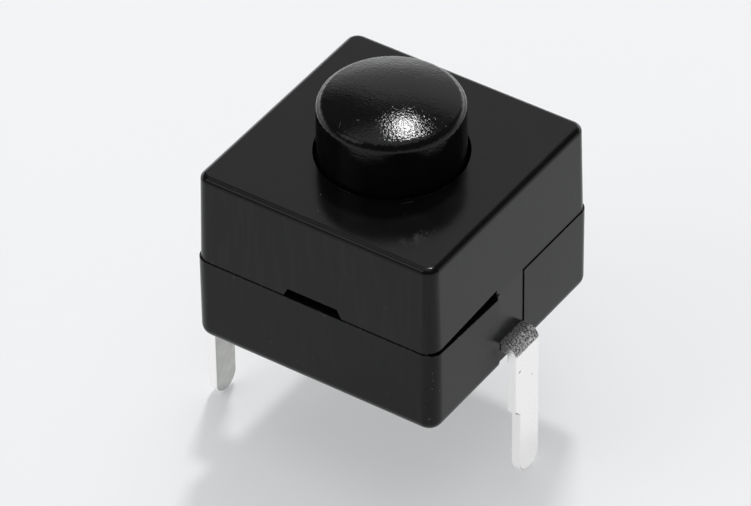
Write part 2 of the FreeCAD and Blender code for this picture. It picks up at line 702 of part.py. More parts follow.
def build_bridge(doc, sheet):
    """The springy bar that joins the two contacts while the button is out."""
    piece = Piece(doc, sheet, "contact_bridge")
    bar = piece.sketch("bar_outline", z="bridge_bottom")
    long, wide, cut = "bridge_end", "bridge_width / 2", "bridge_corner"
    piece.outline(bar, [
        (f"{long} - {cut}", f"-{wide}"), (long, f"-{wide} + {cut}", cut),
        (long, f"{wide} - {cut}"), (f"{long} - {cut}", wide, cut),
        (f"-{long} + {cut}", wide), (f"-{long}", f"{wide} - {cut}", cut),
        (f"-{long}", f"-{wide} + {cut}"), (f"-{long} + {cut}", f"-{wide}", cut)])
    piece.circle(bar, "nipple_radius + nipple_clearance")
    for place in ("contact_place", "-contact_place"):
        piece.circle(bar, "shank_radius + shank_clearance", place)
    piece.pad("bar", bar, "bridge_thickness")
    return piece.body


def build_spring(doc, sheet):
    """The conical return spring between the base's pocket and the bridge: a wire swept along
    quarter-turn arcs that climb a cone. Its section is a square that fits in the round wire."""
    wire_radius = value(sheet, "spring_wire / 2")
    low_radius = value(sheet, "spring_base_radius")
    high_radius = value(sheet, "spring_top_radius")
    low = value(sheet, "seat_floor + spring_clearance") + wire_radius
    high = value(sheet, "bridge_bottom - spring_clearance") - wire_radius
    turns = value(sheet, "spring_turns")

    def along(share):
        radius = low_radius + (high_radius - low_radius) * share
        angle = math.tau * turns * share
        return FreeCAD.Vector(
            radius * math.cos(angle), radius * math.sin(angle), low + (high - low) * share)

    count = round(turns * TURN_ARCS)
    arcs = []
    for step in range(count):
        ends = [along((step + part) / count) for part in (0, 0.5, 1)]
        arcs.append(Part.Arc(*ends).toShape())
    path = Part.Wire(arcs)
    first = path.Edges[0]
    ring = Part.makeCircle(wire_radius, along(0), first.tangentAt(first.FirstParameter))
    section = Part.makePolygon(ring.discretize(WIRE_SIDE_COUNT + 1))
    spring = doc.addObject("Part::Feature", "return_spring")
    spring.Label = "return_spring"
    spring.Shape = path.makePipeShell([section], True, True)
    spring.Placement = FreeCAD.Placement()
    return spring


def build_all(doc):
    """Every piece of the switch."""
    sheet = make_sheet(doc)
    moving = ("moving_head", "bridge_thickness", "bridge_top", 1)
    fixed = ("fixed_head", "sheet_thickness", "arm_height", -1)
    return [
        build_base(doc, sheet),
        build_cover(doc, sheet),
        build_button(doc, sheet),
        build_rotor(doc, sheet),
        build_terminal(doc, sheet, "terminal_right", 1, "right_terminal_place", "right_leg_gap"),
        build_terminal(doc, sheet, "terminal_left", -1, "left_terminal_place", "left_leg_gap"),
        build_contact(doc, sheet, "fixed_contact_right", 1, *fixed),
        build_contact(doc, sheet, "fixed_contact_left", -1, *fixed),
        build_contact(doc, sheet, "moving_contact_right", 1, *moving),
        build_contact(doc, sheet, "moving_contact_left", -1, *moving),
        build_bridge(doc, sheet),
        build_spring(doc, sheet),
    ]


def check(doc, bodies):
    """Stop if any object failed or any piece isn't one valid solid."""
    for item in doc.Objects:
        if "Invalid" in item.State or "Error" in item.State:
            raise RuntimeError(f"{item.Name} failed: {item.State}")
    for body in bodies:
        shape = body.Shape
        if shape.isNull() or not shape.isValid() or len(shape.Solids) != 1:
            raise RuntimeError(f"{body.Label} is not one valid solid")


def main():
    doc = FreeCAD.newDocument("pushbutton_switch")
    bodies = build_all(doc)
    doc.recompute()
    check(doc, bodies)
    os.makedirs("parts", exist_ok=True)
    for body in bodies:
        body.Shape.exportStep(f"parts/{body.Label}.step")
        print(body.Label, round(body.Shape.Volume, 3), "cubic mm")


main()
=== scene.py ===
import math

import bmesh
import bpy
from mathutils import Matrix, Vector


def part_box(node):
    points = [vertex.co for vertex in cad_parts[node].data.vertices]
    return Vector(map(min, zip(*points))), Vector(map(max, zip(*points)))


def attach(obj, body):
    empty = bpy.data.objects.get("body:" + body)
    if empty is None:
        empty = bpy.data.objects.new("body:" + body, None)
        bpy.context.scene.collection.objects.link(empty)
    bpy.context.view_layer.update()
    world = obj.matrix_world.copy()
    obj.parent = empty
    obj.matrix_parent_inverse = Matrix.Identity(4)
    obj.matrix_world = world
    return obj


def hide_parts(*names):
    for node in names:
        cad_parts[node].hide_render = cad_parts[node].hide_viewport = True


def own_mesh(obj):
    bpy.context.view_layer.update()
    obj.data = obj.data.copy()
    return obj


# A latching pushbutton switch: black moulded housing and button, two plated solder legs.
# The frame is in metres. Pieces are shaped in millimetres and scaled once, at the end.
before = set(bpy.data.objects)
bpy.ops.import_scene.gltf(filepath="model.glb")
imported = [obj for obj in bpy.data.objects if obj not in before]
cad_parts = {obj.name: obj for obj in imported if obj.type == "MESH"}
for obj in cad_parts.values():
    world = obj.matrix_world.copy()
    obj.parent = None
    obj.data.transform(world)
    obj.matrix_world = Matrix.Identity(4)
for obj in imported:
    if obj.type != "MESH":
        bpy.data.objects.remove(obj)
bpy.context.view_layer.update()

MM = 0.001

# Camera, from the fit to the photograph: degrees, millimetres and pixels
CAMERA_AZIMUTH = 34.4005
CAMERA_ELEVATION = 39.9036
CAMERA_ROLL = -0.8094
CAMERA_PLACE = (104.6140, -154.0907, 158.7594)
FOCAL_PIXELS = 5780.20
PHOTO_WIDTH = 751
SENSOR_WIDTH = 36.0
NEAREST_SEEN = 0.01

# Softboxes: the way to them, their width and height in degrees as the object sees them, and
# their radiance. The distance and the floor's side are in metres.
LIGHT_DISTANCE = 0.5
KEY_LIGHT = ((-0.21, 0.45, 0.87), 6, 6, 98.0)
FRONT_LEFT_LIGHT = ((-0.43, -0.64, 0.63), 28, 28, 1.5)
FLOOR_SIDE = 1.4

# The room: the way to its back wall and to its left, and the radiance at the horizon, of the
# wall, of the glow at the wall's foot, of the dark ceiling and of the panel overhead
BACK = (-0.565, 0.825, 0.0)
LEFT = (-0.825, -0.565, 0.0)
HORIZON_LIGHT = 0.9
WALL_LIGHT = 0.88
GLOW_LIGHT = 1.6
CEILING_LIGHT = 0.12
PANEL_LIGHT = 1.0
# Where each fades from and to. Heights are the sine of the angle above the horizon, sides the
# cosine of the turn away from the back.
HORIZON_FADE = (0.05, 0.22)
WALL_TOP = (0.78, 0.62)
WALL_SIDES = (0.55, 0.85)
GLOW_TOP = (0.4, 0.16)
GLOW_SIDES = (0.1, 0.6)
PANEL_EDGE = (0.83, 0.88)
# How far round to the left the wall's top starts to come down, and how steeply it does
LEFT_START = 0.06
LEFT_FALL = 1.3
ROOM_TINT = (0.985, 0.99, 1.0, 1.0)

# The floor: its colour, its glow, and how much of the glow the camera and reflections see
FLOOR_COLOURS = ((0.93, 0.935, 0.945, 1), (0.95, 0.955, 0.965, 1))
FLOOR_GLOW = (0.975, 0.985, 1.0, 1)
FLOOR_LIFT = 0.32
FLOOR_LIFT_IN_METAL = 0.62

# Greys of what has happened to the black plastic, and of the marks on the legs
RUBBED = 0.10
SCRATCHED = 0.05
DUSTY = 0.10
MARKED = 0.06
LEG_MARKED = 0.12

# Shaping of the pieces: degrees and millimetres
SHARP_ANGLE = 28
FLAT_ANGLE = 0.4
WELD_DISTANCE = 0.0002
EDGE_STEPS = 2

# The open slot in the right wall narrows towards the front corner: its ends, and for each piece
# the height of its edge at the front and at the rear, first as modelled and then as moulded
SLOT_WALL = 5.3
SLOT_FRONT = -5.85
SLOT_REAR = -1.17
SLOT_REACH = 0.02
SLOT_TOLERANCE = 0.01
SLOT_EDGES = {
    "cover": ((4.42, 4.52), (4.29, 4.51)),
    "base": ((4.14, 3.98), (4.19, 3.99)),
}

# The return spring, in millimetres
SPRING_WIRE = 0.25
SPRING_TURNS = 3.0
SPRING_TOP_RADIUS = 0.85
SPRING_POINTS = 320
SPRING_EASE = 0.55
WIRE_SIDES = 16


# Node trees

def pattern(size):
    """The texture scale at which a pattern has this size, in millimetres."""
    return 1 / (size * MM)


def grey(level, warmth=0.0):
    """An opaque grey, a little warmer than neutral where asked."""
    return (level * (1 + warmth), level, level * (1 - warmth), 1.0)


class Tree:
    """Adds nodes to one tree and joins them."""

    def __init__(self, tree):
        self.tree = tree

    def node(self, kind, inputs=None, **settings):
        made = self.tree.nodes.new(kind)
        for name, setting in settings.items():
            setattr(made, name, setting)
        for name, source in (inputs or {}).items():
            self.feed(made.inputs[name], source)
        return made

    def feed(self, socket, source):
        if isinstance(source, bpy.types.NodeSocket):
            self.tree.links.new(source, socket)
        else:
            socket.default_value = source

    def place(self):
        """Where the shaded point is on the object."""
        return self.node("ShaderNodeTexCoord").outputs["Object"]

    def facing(self):
        """The X, Y and Z of the way that the surface faces."""
        normal = self.node("ShaderNodeNewGeometry").outputs["Normal"]
        return self.node("ShaderNodeSeparateXYZ", {"Vector": normal}).outputs

    def point(self, x, y, z):
        return self.node("ShaderNodeCombineXYZ", {"X": x, "Y": y, "Z": z}).outputs[0]

    def math(self, operation, first, second=0.0, third=0.0, clamp=False):
        made = self.node("ShaderNodeMath", operation=operation, use_clamp=clamp)
        for socket, source in zip(made.inputs, (first, second, third)):
            self.feed(socket, source)
        return made.outputs[0]

    def vector(self, operation, first, second=(0, 0, 0), output=0):
        made = self.node("ShaderNodeVectorMath", operation=operation)
        self.feed(made.inputs[0], first)
        self.feed(made.inputs[1], second)
        return made.outputs[output]

    def ramp(self, source, low, high, to_low=0.0, to_high=1.0):
        """A value carried smoothly from one range to another, without going past its ends."""
        made = self.node("ShaderNodeMapRange", {
            "Value": source, "From Min": low, "From Max": high, "To Min": to_low, "To Max": to_high},
            interpolation_type="SMOOTHSTEP")
        return made.outputs["Result"]

    def between(self, share, low, high):
        """The value at a share of the way from low to high."""
        made = self.node("ShaderNodeMapRange", {"Value": share, "To Min": low, "To Max": high})
        return made.outputs[0]

    def colour(self, share, first, second):
        made = self.node("ShaderNodeMix", data_type="RGBA")
        self.feed(made.inputs["Factor"], share)
        self.feed(made.inputs[6], first)
        self.feed(made.inputs[7], second)
        return made.outputs[2]

    def mix_shaders(self, share, first, second):
        made = self.node("ShaderNodeMixShader")
        for socket, source in zip(made.inputs, (share, first, second)):
            self.feed(socket, source)
        return made.outputs[0]

    def noise(self, place, scale, detail=2.0, roughness=0.5):
        made = self.node("ShaderNodeTexNoise", {
            "Vector": place, "Scale": scale, "Detail": detail, "Roughness": roughness})
        return made.outputs["Fac"]

    def bump(self, height, depth):
        """A surface roughened by a height, whose depth is in millimetres."""
        made = self.node("ShaderNodeBump", {
            "Strength": 1.0, "Distance": depth * MM, "Height": height})
        return made.outputs[0]


def new_group(name, kind, inputs, output, output_kind="NodeSocketFloat"):
    """An empty node group with named inputs, numbers or points, and one output."""
    group = bpy.data.node_groups.new(name, kind)
    for title, default in inputs:
        input_kind = "NodeSocketVector" if isinstance(default, tuple) else "NodeSocketFloat"
        socket = group.interface.new_socket(title, in_out="INPUT", socket_type=input_kind)
        socket.default_value = default
    group.interface.new_socket(output, in_out="OUTPUT", socket_type=output_kind)
    tree = Tree(group)
    entry = tree.node("NodeGroupInput").outputs
    leave = tree.node("NodeGroupOutput").inputs[output]
    return tree, entry, leave


# Effects that the materials share. Their sizes are in millimetres.

def make_grain():
    """Fine moulded grain."""
    tree, entry, leave = new_group("Moulded grain", "ShaderNodeTree", [("Size", 0.08)], "Height")
    place = tree.place()
    scale = tree.math("DIVIDE", 1 / MM, entry["Size"])
    fine = tree.noise(place, scale, detail=2.0, roughness=0.6)
    wide = tree.noise(place, tree.math("MULTIPLY", scale, 0.23), detail=1.0)
    tree.feed(leave, tree.math("MULTIPLY_ADD", wide, 0.5, fine))
    return tree.tree


def make_specks():
    """Scattered grains of dust. Amount is the share of them that is kept."""
    tree, entry, leave = new_group("Dust specks", "ShaderNodeTree", [
        ("Spacing", 0.6), ("Size", 0.04), ("Amount", 0.5)], "Mask")
    cells = tree.node("ShaderNodeTexVoronoi", {
        "Vector": tree.place(), "Scale": tree.math("DIVIDE", 1 / MM, entry["Spacing"])}).outputs
    chance = tree.node("ShaderNodeSeparateColor", {"Color": cells["Color"]}).outputs
    reach = tree.math("DIVIDE", entry["Size"], entry["Spacing"])
    size = tree.math("MULTIPLY", reach, tree.ramp(chance["Green"], 0.0, 1.0, 0.3, 1.0))
    spot = tree.ramp(tree.math("DIVIDE", cells["Distance"], size), 1.0, 0.6)
    kept = tree.math("LESS_THAN", chance["Red"], entry["Amount"])
    tree.feed(leave, tree.math("MULTIPLY", spot, kept))
    return tree.tree


def make_hairlines():
    """One straight hairline scratch in each cell that is kept. Amount is the share kept."""
    tree, entry, leave = new_group("Hairlines", "ShaderNodeTree", [
        ("Spacing", 1.5), ("Width", 0.02), ("Length", 0.6), ("Amount", 0.5)], "Mask")
    place = tree.place()
    cells = tree.node("ShaderNodeTexVoronoi", {
        "Vector": place, "Scale": tree.math("DIVIDE", 1 / MM, entry["Spacing"])}).outputs
    offset = tree.vector("SUBTRACT", place, cells["Position"])
    turn = tree.vector("SUBTRACT", cells["Color"], (0.5, 0.5, 0.5))
    across = tree.vector("NORMALIZE", turn)
    gap = tree.math("ABSOLUTE", tree.vector("DOT_PRODUCT", offset, across, "Value"))
    reach = tree.vector("LENGTH", offset, output="Value")
    thin = tree.ramp(gap, tree.math("MULTIPLY", entry["Width"], MM / 2), 0.0)
    short = tree.ramp(reach, tree.math("MULTIPLY", entry["Length"], MM / 2), 0.0)
    chance = tree.node("ShaderNodeSeparateColor", {"Color": cells["Color"]}).outputs["Blue"]
    kept = tree.math("LESS_THAN", chance, entry["Amount"])
    tree.feed(leave, tree.math("MULTIPLY", tree.math("MULTIPLY", thin, short), kept))
    return tree.tree


def make_mark():
    """One ragged scratch from Start to End, or a speck where both are the same point."""
    tree, entry, leave = new_group("Mark", "ShaderNodeTree", [
        ("Start", (0, 0, 0)), ("End", (0, 0, 0)), ("Width", 0.05)], "Mask")
    place = tree.place()
    here = tree.vector("MULTIPLY", place, (1 / MM, 1 / MM, 1 / MM))
    run = tree.vector("SUBTRACT", entry["End"], entry["Start"])
    offset = tree.vector("SUBTRACT", here, entry["Start"])
    along = tree.vector("DOT_PRODUCT", offset, run, "Value")
    reach = tree.vector("DOT_PRODUCT", run, run, "Value")
    share = tree.math("DIVIDE", along, reach, clamp=True)
    nearest = tree.vector("MULTIPLY", run, tree.point(share, share, share))
    gap = tree.vector("LENGTH", tree.vector("SUBTRACT", offset, nearest), output="Value")
    ragged = tree.ramp(tree.noise(place, pattern(0.05)), 0.35, 0.65, 0.6, 1.7)
    away = tree.math("DIVIDE", tree.math("MULTIPLY", gap, ragged), entry["Width"])
    tree.feed(leave, tree.ramp(away, 0.55, 0.3))
    return tree.tree


def make_streaks():
    """Soft upright streaks, as plastic leaves where it flowed in its mould."""
    tree, entry, leave = new_group("Flow streaks", "ShaderNodeTree", [
        ("Width", 0.3), ("Stretch", 8.0)], "Mask")
    flat = tree.point(1.0, 1.0, tree.math("DIVIDE", 1.0, entry["Stretch"]))
    along = tree.vector("MULTIPLY", tree.place(), flat)
    scale = tree.math("DIVIDE", 1 / MM, entry["Width"])
    tree.feed(leave, tree.noise(along, scale, detail=3.0, roughness=0.55))
    return tree.tree


def make_edge_wear():
    """Where edges are rubbed: a patchy mask where the surface turns within the reach."""
    tree, entry, leave = new_group("Edge wear", "ShaderNodeTree", [
        ("Reach", 0.12), ("Amount", 1.0)], "Mask")
    turned = tree.node("ShaderNodeBevel", {
        "Radius": tree.math("MULTIPLY", entry["Reach"], MM)}, samples=6).outputs[0]
    normal = tree.node("ShaderNodeNewGeometry").outputs["Normal"]
    turn = tree.math("SUBTRACT", 1.0, tree.vector("DOT_PRODUCT", turned, normal, "Value"))
    patch = tree.noise(tree.place(), pattern(0.25), detail=4.0, roughness=0.6)
    worn = tree.math("MULTIPLY", tree.ramp(turn, 0.02, 0.25), tree.ramp(patch, 0.45, 0.7))
    tree.feed(leave, tree.math("MULTIPLY", worn, entry["Amount"], clamp=True))
    return tree.tree


GRAIN = make_grain()
SPECKS = make_specks()
HAIRLINES = make_hairlines()
MARK = make_mark()
STREAKS = make_streaks()
EDGE_WEAR = make_edge_wear()


def placed(tree, group, **values):
    """A shared effect in a material, with its own values."""
    return tree.node("ShaderNodeGroup", {
        name.capitalize(): amount for name, amount in values.items()}, node_tree=group).outputs[0]


# Marks that the pieces have picked up: start, end and width in millimetres

def speck(x, y, z, width):
    """A mark that starts and ends at the same point."""
    return (x, y, z), (x, y, z), width


COVER_MARKS = [
    speck(2.83, -1.57, 8.6, 0.12),
    ((2.30, -2.75, 8.6), (2.62, -2.35, 8.6), 0.022),
    speck(-5.03, -5.93, 4.33, 0.10),
    speck(5.82, -5.85, 4.94, 0.09),
]
BASE_MARKS = [
    speck(-3.92, -6.0, 4.08, 0.09),
    speck(-3.07, -6.0, 4.03, 0.07),
    speck(0.60, -6.0, 4.13, 0.08),
    speck(-5.37, -5.98, 0.64, 0.09),
    speck(-5.02, -5.98, 0.42, 0.08),
    speck(5.81, -5.80, 3.30, 0.08),
    speck(5.82, -5.79, 2.90, 0.07),
    speck(5.81, -5.80, 2.45, 0.09),
    speck(5.70, -5.89, 0.80, 0.10),
]
BUTTON_MARKS = [
    speck(-0.25, -2.07, 11.42, 0.10),
    speck(2.85, -0.25, 11.24, 0.08),
    ((0.64, -2.08, 11.40), (0.58, -1.66, 11.48), 0.025),
    ((-0.76, -2.71, 11.26), (-0.84, -2.45, 11.31), 0.03),
]
LEG_MARKS = [
    speck(6.78, -0.66, 0.09, 0.12),
    speck(6.78, 0.28, -0.71, 0.10),
    speck(6.78, 1.00, -1.90, 0.10),
    ((6.78, -1.00, -2.00), (6.78, -0.70, -2.25), 0.07),
]


def with_marks(tree, under, marks, level):
    """A colour with marks of one grey on it."""
    for start, end, width in marks:
        mask = placed(tree, MARK, start=start, end=end, width=width)
        under = tree.colour(mask, under, grey(level))
    return under


# Materials

def new_material(name, **constants):
    """A material with a Principled shader whose plain values are set on its own sockets."""
    material = bpy.data.materials.new(name)
    material.use_nodes = True
    tree = Tree(material.node_tree)
    shader = material.node_tree.nodes["Principled BSDF"]
    for title, level in constants.items():
        shader.inputs[title.replace("_", " ")].default_value = level
    return material, tree, shader.inputs


def black_plastic(name, level, shine, gloss, grain_size, grain_depth, streak, dust, wear, marks):
    """Black moulded plastic with grain, flow streaks, scratches, dust and rubbed edges.

    Level is its grey, shine the strength of its reflections and gloss how blurred they are.
    Streak, dust and wear say how much of each it has."""
    material, tree, sockets = new_material(name, IOR=1.5, Specular_IOR_Level=shine)
    cloud = tree.noise(tree.place(), pattern(1.1), detail=3.0)
    upright = tree.ramp(tree.math("ABSOLUTE", tree.facing()["Z"]), 0.5, 0.2)
    streaks = tree.math("MULTIPLY", placed(tree, STREAKS, width=0.22, stretch=14.0), upright)
    lines = placed(tree, HAIRLINES, spacing=1.1, width=0.03, length=0.9, amount=0.12)
    specks = placed(tree, SPECKS, spacing=0.45, size=0.028, amount=dust)
    worn = placed(tree, EDGE_WEAR, reach=0.12, amount=wear)

    body = tree.colour(cloud, grey(level * 0.75), grey(level * 1.3))
    body = tree.colour(tree.ramp(streaks, 0.45, 0.65), body, grey(level + 0.04 * streak))
    body = tree.colour(worn, body, grey(RUBBED))
    body = tree.colour(tree.math("MULTIPLY", lines, 0.35), body, grey(SCRATCHED))
    body = tree.colour(specks, body, grey(DUSTY))
    tree.feed(sockets["Base Color"], with_marks(tree, body, marks, MARKED))

    finish = tree.math("MULTIPLY_ADD", tree.math("SUBTRACT", cloud, 0.5), 0.08, gloss)
    finish = tree.math("MULTIPLY_ADD", tree.math("SUBTRACT", streaks, 0.5), streak, finish)
    finish = tree.math("MULTIPLY_ADD", specks, 0.3, finish)
    tree.feed(sockets["Roughness"], tree.math("MAXIMUM", finish, 0.05))

    height = tree.math("MULTIPLY_ADD", lines, -0.8, placed(tree, GRAIN, size=grain_size))
    height = tree.math("MULTIPLY_ADD", streaks, 22 * streak, height)
    height = tree.math("ADD", height, specks)
    tree.feed(sockets["Normal"], tree.bump(height, grain_depth))
    return material


def plated_strip(name, tarnish_and_painted_shade):
    """Tin-plated strip: rolling lines along it, a crazed skin on the bends, torn cut edges.

    Its second value says how far its broad faces are darkened with painted shade, which stands for the
    shade and dark reflections a leg's inner face gets under the body."""
    material, tree, sockets = new_material(name, Metallic=1.0)
    place = tree.place()
    facing = tree.facing()
    bend = tree.math("ABSOLUTE", tree.math("MULTIPLY", facing["X"], facing["Z"]))
    broad = tree.ramp(tree.math("ABSOLUTE", facing["X"]), 0.7, 0.95)
    cut_edge = tree.ramp(tree.math("ABSOLUTE", facing["Y"]), 0.7, 0.95)
    top = tree.ramp(facing["Z"], 0.7, 0.95)
    rim = placed(tree, EDGE_WEAR, reach=0.06, amount=1.6)
    strained = tree.math("MAXIMUM", tree.ramp(bend, 0.04, 0.2), top)
    strained = tree.math("MULTIPLY", strained, tree.math("SUBTRACT", 1.0, rim))
    grime = tree.math("MULTIPLY", rim, tree.ramp(bend, 0.2, 0.04))

    rolled = tree.noise(tree.vector("MULTIPLY", place, (1.0, 1.0, 0.06)), pattern(0.05))
    torn = tree.noise(tree.vector("MULTIPLY", place, (0.25, 1.0, 1.0)), pattern(0.07), detail=3.0)
    mottle = tree.noise(place, pattern(0.5), detail=4.0, roughness=0.6)
    crazed = tree.noise(place, pattern(0.075), detail=4.0, roughness=0.75)
    cracked = tree.math("MULTIPLY", strained, tree.ramp(crazed, 0.35, 0.58))
    # Painted shade: the broad faces are darkened towards a dark grey-green that stands for the shade
    # under the body, not a tarnish of the plating.
    painted_shade_on_broad = tree.math("MULTIPLY", broad, tree.ramp(mottle, 0.2, 0.8, tarnish_and_painted_shade, tarnish_and_painted_shade * 1.25))

    tin = tree.colour(mottle, grey(0.93, warmth=0.008), grey(0.97, warmth=0.012))
    tin = tree.colour(painted_shade_on_broad, tin, (0.20, 0.21, 0.19, 1))
    tin = tree.colour(cracked, tin, grey(0.06))
    tin = tree.colour(grime, tin, (0.16, 0.14, 0.11, 1))
    tree.feed(sockets["Base Color"], with_marks(tree, tin, LEG_MARKS, LEG_MARKED))

    finish = tree.math("MULTIPLY_ADD", mottle, 0.12, 0.2)
    tree.feed(sockets["Roughness"], tree.math("MULTIPLY_ADD", strained, 0.2, finish))

    height = tree.math("MULTIPLY", rolled, 0.15)
    height = tree.math("MULTIPLY_ADD", tree.math("MULTIPLY", crazed, strained), 4.5, height)
    height = tree.math("MULTIPLY_ADD", tree.math("MULTIPLY", torn, cut_edge), 0.5, height)
    tree.feed(sockets["Normal"], tree.bump(height, 0.01))
    return material


def natural_plastic():
    """Unpainted white moulding, slightly waxy."""
    material, tree, sockets = new_material("natural_acetal", Subsurface_Weight=0.1, IOR=1.48)
    sockets["Subsurface Radius"].default_value = (0.6 * MM, 0.5 * MM, 0.4 * MM)
    cloud = tree.noise(tree.place(), pattern(1.4), detail=3.0)
    white = tree.colour(cloud, (0.80, 0.79, 0.74, 1), (0.87, 0.86, 0.82, 1))
    tree.feed(sockets["Base Color"], white)
    tree.feed(sockets["Roughness"], tree.ramp(cloud, 0.0, 1.0, 0.38, 0.52))
    tree.feed(sockets["Normal"], tree.bump(placed(tree, GRAIN, size=0.07), 0.004))
    return material


def drawn_metal(name, dark, bright, roughness, stretch):
    """Bare metal with fine lines along one direction and a little tarnish."""
    material, tree, sockets = new_material(name, Metallic=1.0)
    place = tree.place()
    lines = tree.noise(tree.vector("MULTIPLY", place, stretch), pattern(0.05))
    tarnish_and_painted_shade = tree.noise(place, pattern(0.7), detail=4.0, roughness=0.6)
    tree.feed(sockets["Base Color"], tree.colour(tarnish_and_painted_shade, dark, bright))
    tree.feed(sockets["Roughness"], tree.math("MULTIPLY_ADD", lines, 0.15, roughness))
    tree.feed(sockets["Normal"], tree.bump(lines, 0.003))
    return material


COVER_BLACK = black_plastic(
    "cover_black", level=0.004, shine=0.19, gloss=0.22, grain_size=0.08, grain_depth=0.0012,
    streak=0.10, dust=0.30, wear=0.35, marks=COVER_MARKS)
BASE_BLACK = black_plastic(
    "base_black", level=0.0045, shine=0.165, gloss=0.25, grain_size=0.08, grain_depth=0.0016,
    streak=0.06, dust=0.45, wear=0.8, marks=BASE_MARKS)
BUTTON_BLACK = black_plastic(
    "button_black", level=0.004, shine=0.21, gloss=0.06, grain_size=0.10, grain_depth=0.0088,
    streak=0.0, dust=0.12, wear=0.2, marks=BUTTON_MARKS)
BRIGHT_TIN = plated_strip("tin_plated_strip", tarnish_and_painted_shade=0.0)
# The left leg's strip: its broad faces carry painted shade for the shade under the body.
SHADED_TIN = plated_strip("tin_strip_with_painted_shade", tarnish_and_painted_shade=0.6)
ACETAL = natural_plastic()
SILVER = drawn_metal(
    "contact_silver", dark=(0.80, 0.79, 0.76, 1), bright=(0.92, 0.91, 0.88, 1),
    roughness=0.22, stretch=(1, 1, 1))
BRASS = drawn_metal(
    "bridge_brass", dark=(0.70, 0.50, 0.22, 1), bright=(0.85, 0.66, 0.34, 1),
    roughness=0.25, stretch=(0.05, 1, 1))
STEEL = drawn_metal(
    "spring_steel", dark=(0.45, 0.45, 0.46, 1), bright=(0.66, 0.66, 0.66, 1),
    roughness=0.24, stretch=(1, 1, 0.2))


# Pieces

def add_object(name, data):
    made = bpy.data.objects.new(name, data)
    bpy.context.scene.collection.objects.link(made)
    return made


def settle(made):
    """Turn an object's modifiers into plain mesh, in place."""
    bpy.context.view_layer.update()
    graph = bpy.context.evaluated_depsgraph_get()
    mesh = bpy.data.meshes.new_from_object(made.evaluated_get(graph), depsgraph=graph)
    made.modifiers.clear()
    made.data = mesh
    mesh.name = made.name


def merged_copy(name, node):
    """A copy of a frame node in millimetres, with its loose triangles joined into whole faces."""
    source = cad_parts[node].data
    mesh = bpy.data.meshes.new(name)
    corners = [vertex.co / MM for vertex in source.vertices]
    mesh.from_pydata(corners, [], [tuple(face.vertices) for face in source.polygons])
    shape = bmesh.new()
    shape.from_mesh(mesh)
    bmesh.ops.remove_doubles(shape, verts=shape.verts, dist=WELD_DISTANCE)
    bmesh.ops.dissolve_limit(
        shape, angle_limit=math.radians(FLAT_ANGLE), verts=shape.verts, edges=shape.edges)
    shape.to_mesh(mesh)
    shape.free()
    return add_object(name, mesh)


def narrow_slot(made, modelled, moulded):
    """Move the slot's edge on one piece from its modelled line to its moulded line."""
    for vertex in made.data.vertices:
        share = (vertex.co.y - SLOT_FRONT) / (SLOT_REAR - SLOT_FRONT)
        before = modelled[0] + share * (modelled[1] - modelled[0])
        inside = vertex.co.x > SLOT_WALL and -SLOT_REACH < share < 1 + SLOT_REACH
        if inside and abs(vertex.co.z - before) < SLOT_TOLERANCE:
            vertex.co.z = moulded[0] + share * (moulded[1] - moulded[0])


def soften(made, edge):
    """Round every sharp edge a little, and shade curves smoothly and flats flat."""
    bevel = made.modifiers.new("edges", "BEVEL")
    bevel.width = edge
    bevel.segments = EDGE_STEPS
    bevel.limit_method = "ANGLE"
    bevel.angle_limit = math.radians(SHARP_ANGLE)
    bevel.miter_outer = "MITER_ARC"
    made.data.shade_smooth()
    weigh = made.modifiers.new("shading", "WEIGHTED_NORMAL")
    weigh.keep_sharp = True
    settle(made)


def finish_piece(made, body, material, nodes):
    """Bring a piece to metres, tie it to its body, give it its finish and hide the nodes it stands for.
    """
    made.data.transform(Matrix.Scale(MM, 4))
    made.data.materials.clear()
    made.data.materials.append(material)
    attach(made, body)
    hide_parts(*nodes)


# Name, node, body, slot, material and the rounding of its edges in millimetres
DRESSED = [
    ("cover_moulding", "cover", "housing", "cover_plastic", COVER_BLACK, 0.03),
    ("base_moulding", "base", "housing", "base_plastic", BASE_BLACK, 0.03),
    ("button_moulding", "button", "button", "button_plastic", BUTTON_BLACK, 0.04),
    ("rotor_moulding", "rotor", "rotor", "rotor_plastic", ACETAL, 0.03),
    ("right_terminal_strip", "terminal_right", "housing", "plated_strip", BRIGHT_TIN, 0.03),
    ("left_terminal_strip", "terminal_left", "housing", "plated_strip", SHADED_TIN, 0.03),
    ("bridge_bar", "contact_bridge", "bridge", "bridge_metal", BRASS, 0.03),
    ("fixed_rivet_right", "fixed_contact_right", "housing", "contact_metal", SILVER, 0.015),
    ("fixed_rivet_left", "fixed_contact_left", "housing", "contact_metal", SILVER, 0.015),
    ("moving_rivet_right", "moving_contact_right", "bridge", "contact_metal", SILVER, 0.015),
    ("moving_rivet_left", "moving_contact_left", "bridge", "contact_metal", SILVER, 0.015),
]


def make_dressed_pieces():
    for name, node, body, slot, material, edge in DRESSED:
        made = merged_copy(name, node)
        if node in SLOT_EDGES:
            narrow_slot(made, *SLOT_EDGES[node])
        soften(made, edge)
        finish_piece(made, body, material, [node])


